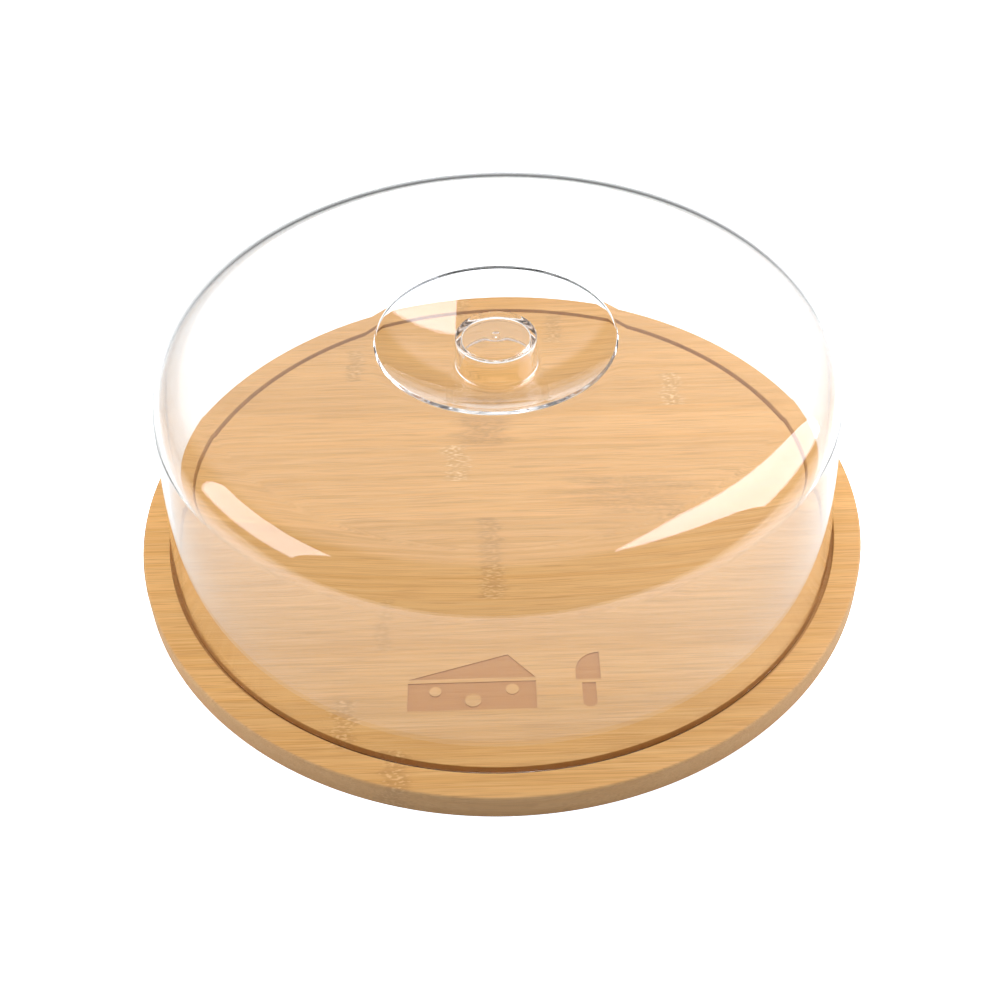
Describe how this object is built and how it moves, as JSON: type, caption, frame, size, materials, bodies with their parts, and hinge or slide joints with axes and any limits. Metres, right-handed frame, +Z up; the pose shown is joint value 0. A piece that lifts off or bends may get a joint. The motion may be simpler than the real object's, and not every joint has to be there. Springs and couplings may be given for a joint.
{
  "type": "cheese dome",
  "caption": "Round bamboo board with a groove for a clear lift-off dome that has a sunken finger well and a knob; covers cheese or cake.",
  "frame": {"origin": "centre of the board's underside, on the surface that the board stands on", "axes": "+Z up, the common axis of the round board and dome; +X along the bamboo strips; +Y across them, away from the side with the emblem"},
  "size_m": [0.32, 0.32, 0.107],
  "materials": {
    "bamboo_light": "bamboo, fine straight grain along X, sanded and oiled, satin",
    "bamboo_dark": "bamboo, fine straight grain along X, sanded and oiled, satin",
    "clear_plastic": "crystal clear moulded plastic, polished"
  },
  "bodies": {
    "board": {"board_strip_01": "bamboo_light", "board_strip_02": "bamboo_dark", "board_strip_03": "bamboo_light", "board_strip_04": "bamboo_dark", "board_strip_05": "bamboo_light", "board_strip_06": "bamboo_dark", "board_strip_07": "bamboo_light", "board_strip_08": "bamboo_dark", "board_strip_09": "bamboo_light", "board_strip_10": "bamboo_dark", "board_strip_11": "bamboo_light", "board_strip_12": "bamboo_dark", "board_strip_13": "bamboo_light"},
    "dome": {"dome": "clear_plastic"}
  },
  "joints": [
    {"name": "dome_lift", "type": "slide", "parent": "board", "child": "dome", "axis": [0, 0, 1], "range_m": [0, 0.15]}
  ]
}
